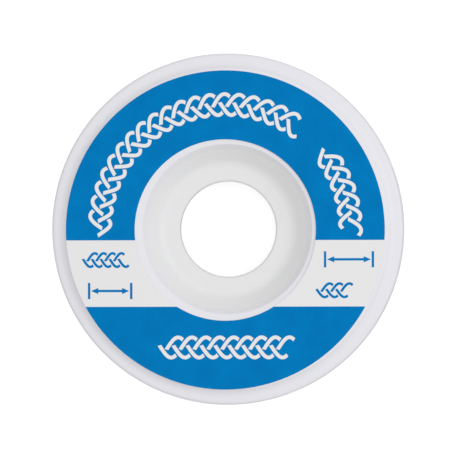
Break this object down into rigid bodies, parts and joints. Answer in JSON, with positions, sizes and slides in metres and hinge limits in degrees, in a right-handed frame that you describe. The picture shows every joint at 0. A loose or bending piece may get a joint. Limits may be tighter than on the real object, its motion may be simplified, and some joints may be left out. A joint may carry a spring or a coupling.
{
  "type": "desoldering braid bobbin",
  "caption": "Flat copper desoldering braid wound on a round white plastic bobbin with a dished hub, open bore and ring-shaped label.",
  "frame": {"origin": "on the bobbin's axis, at the surface that the back face lies on", "axes": "+Z along the bobbin's axis, towards the label; +Y towards the top of the label's print; +X to its right"},
  "size_m": [0.05, 0.05, 0.0091],
  "materials": {
    "white_plastic": "satin moulded",
    "copper_braid": "braided copper wire",
    "label_print": "coated, printed blue and white"
  },
  "bodies": {
    "root": {"front_half": "white_plastic", "back_half": "white_plastic", "braid_roll": "copper_braid", "front_label": "label_print"}
  },
  "joints": []
}
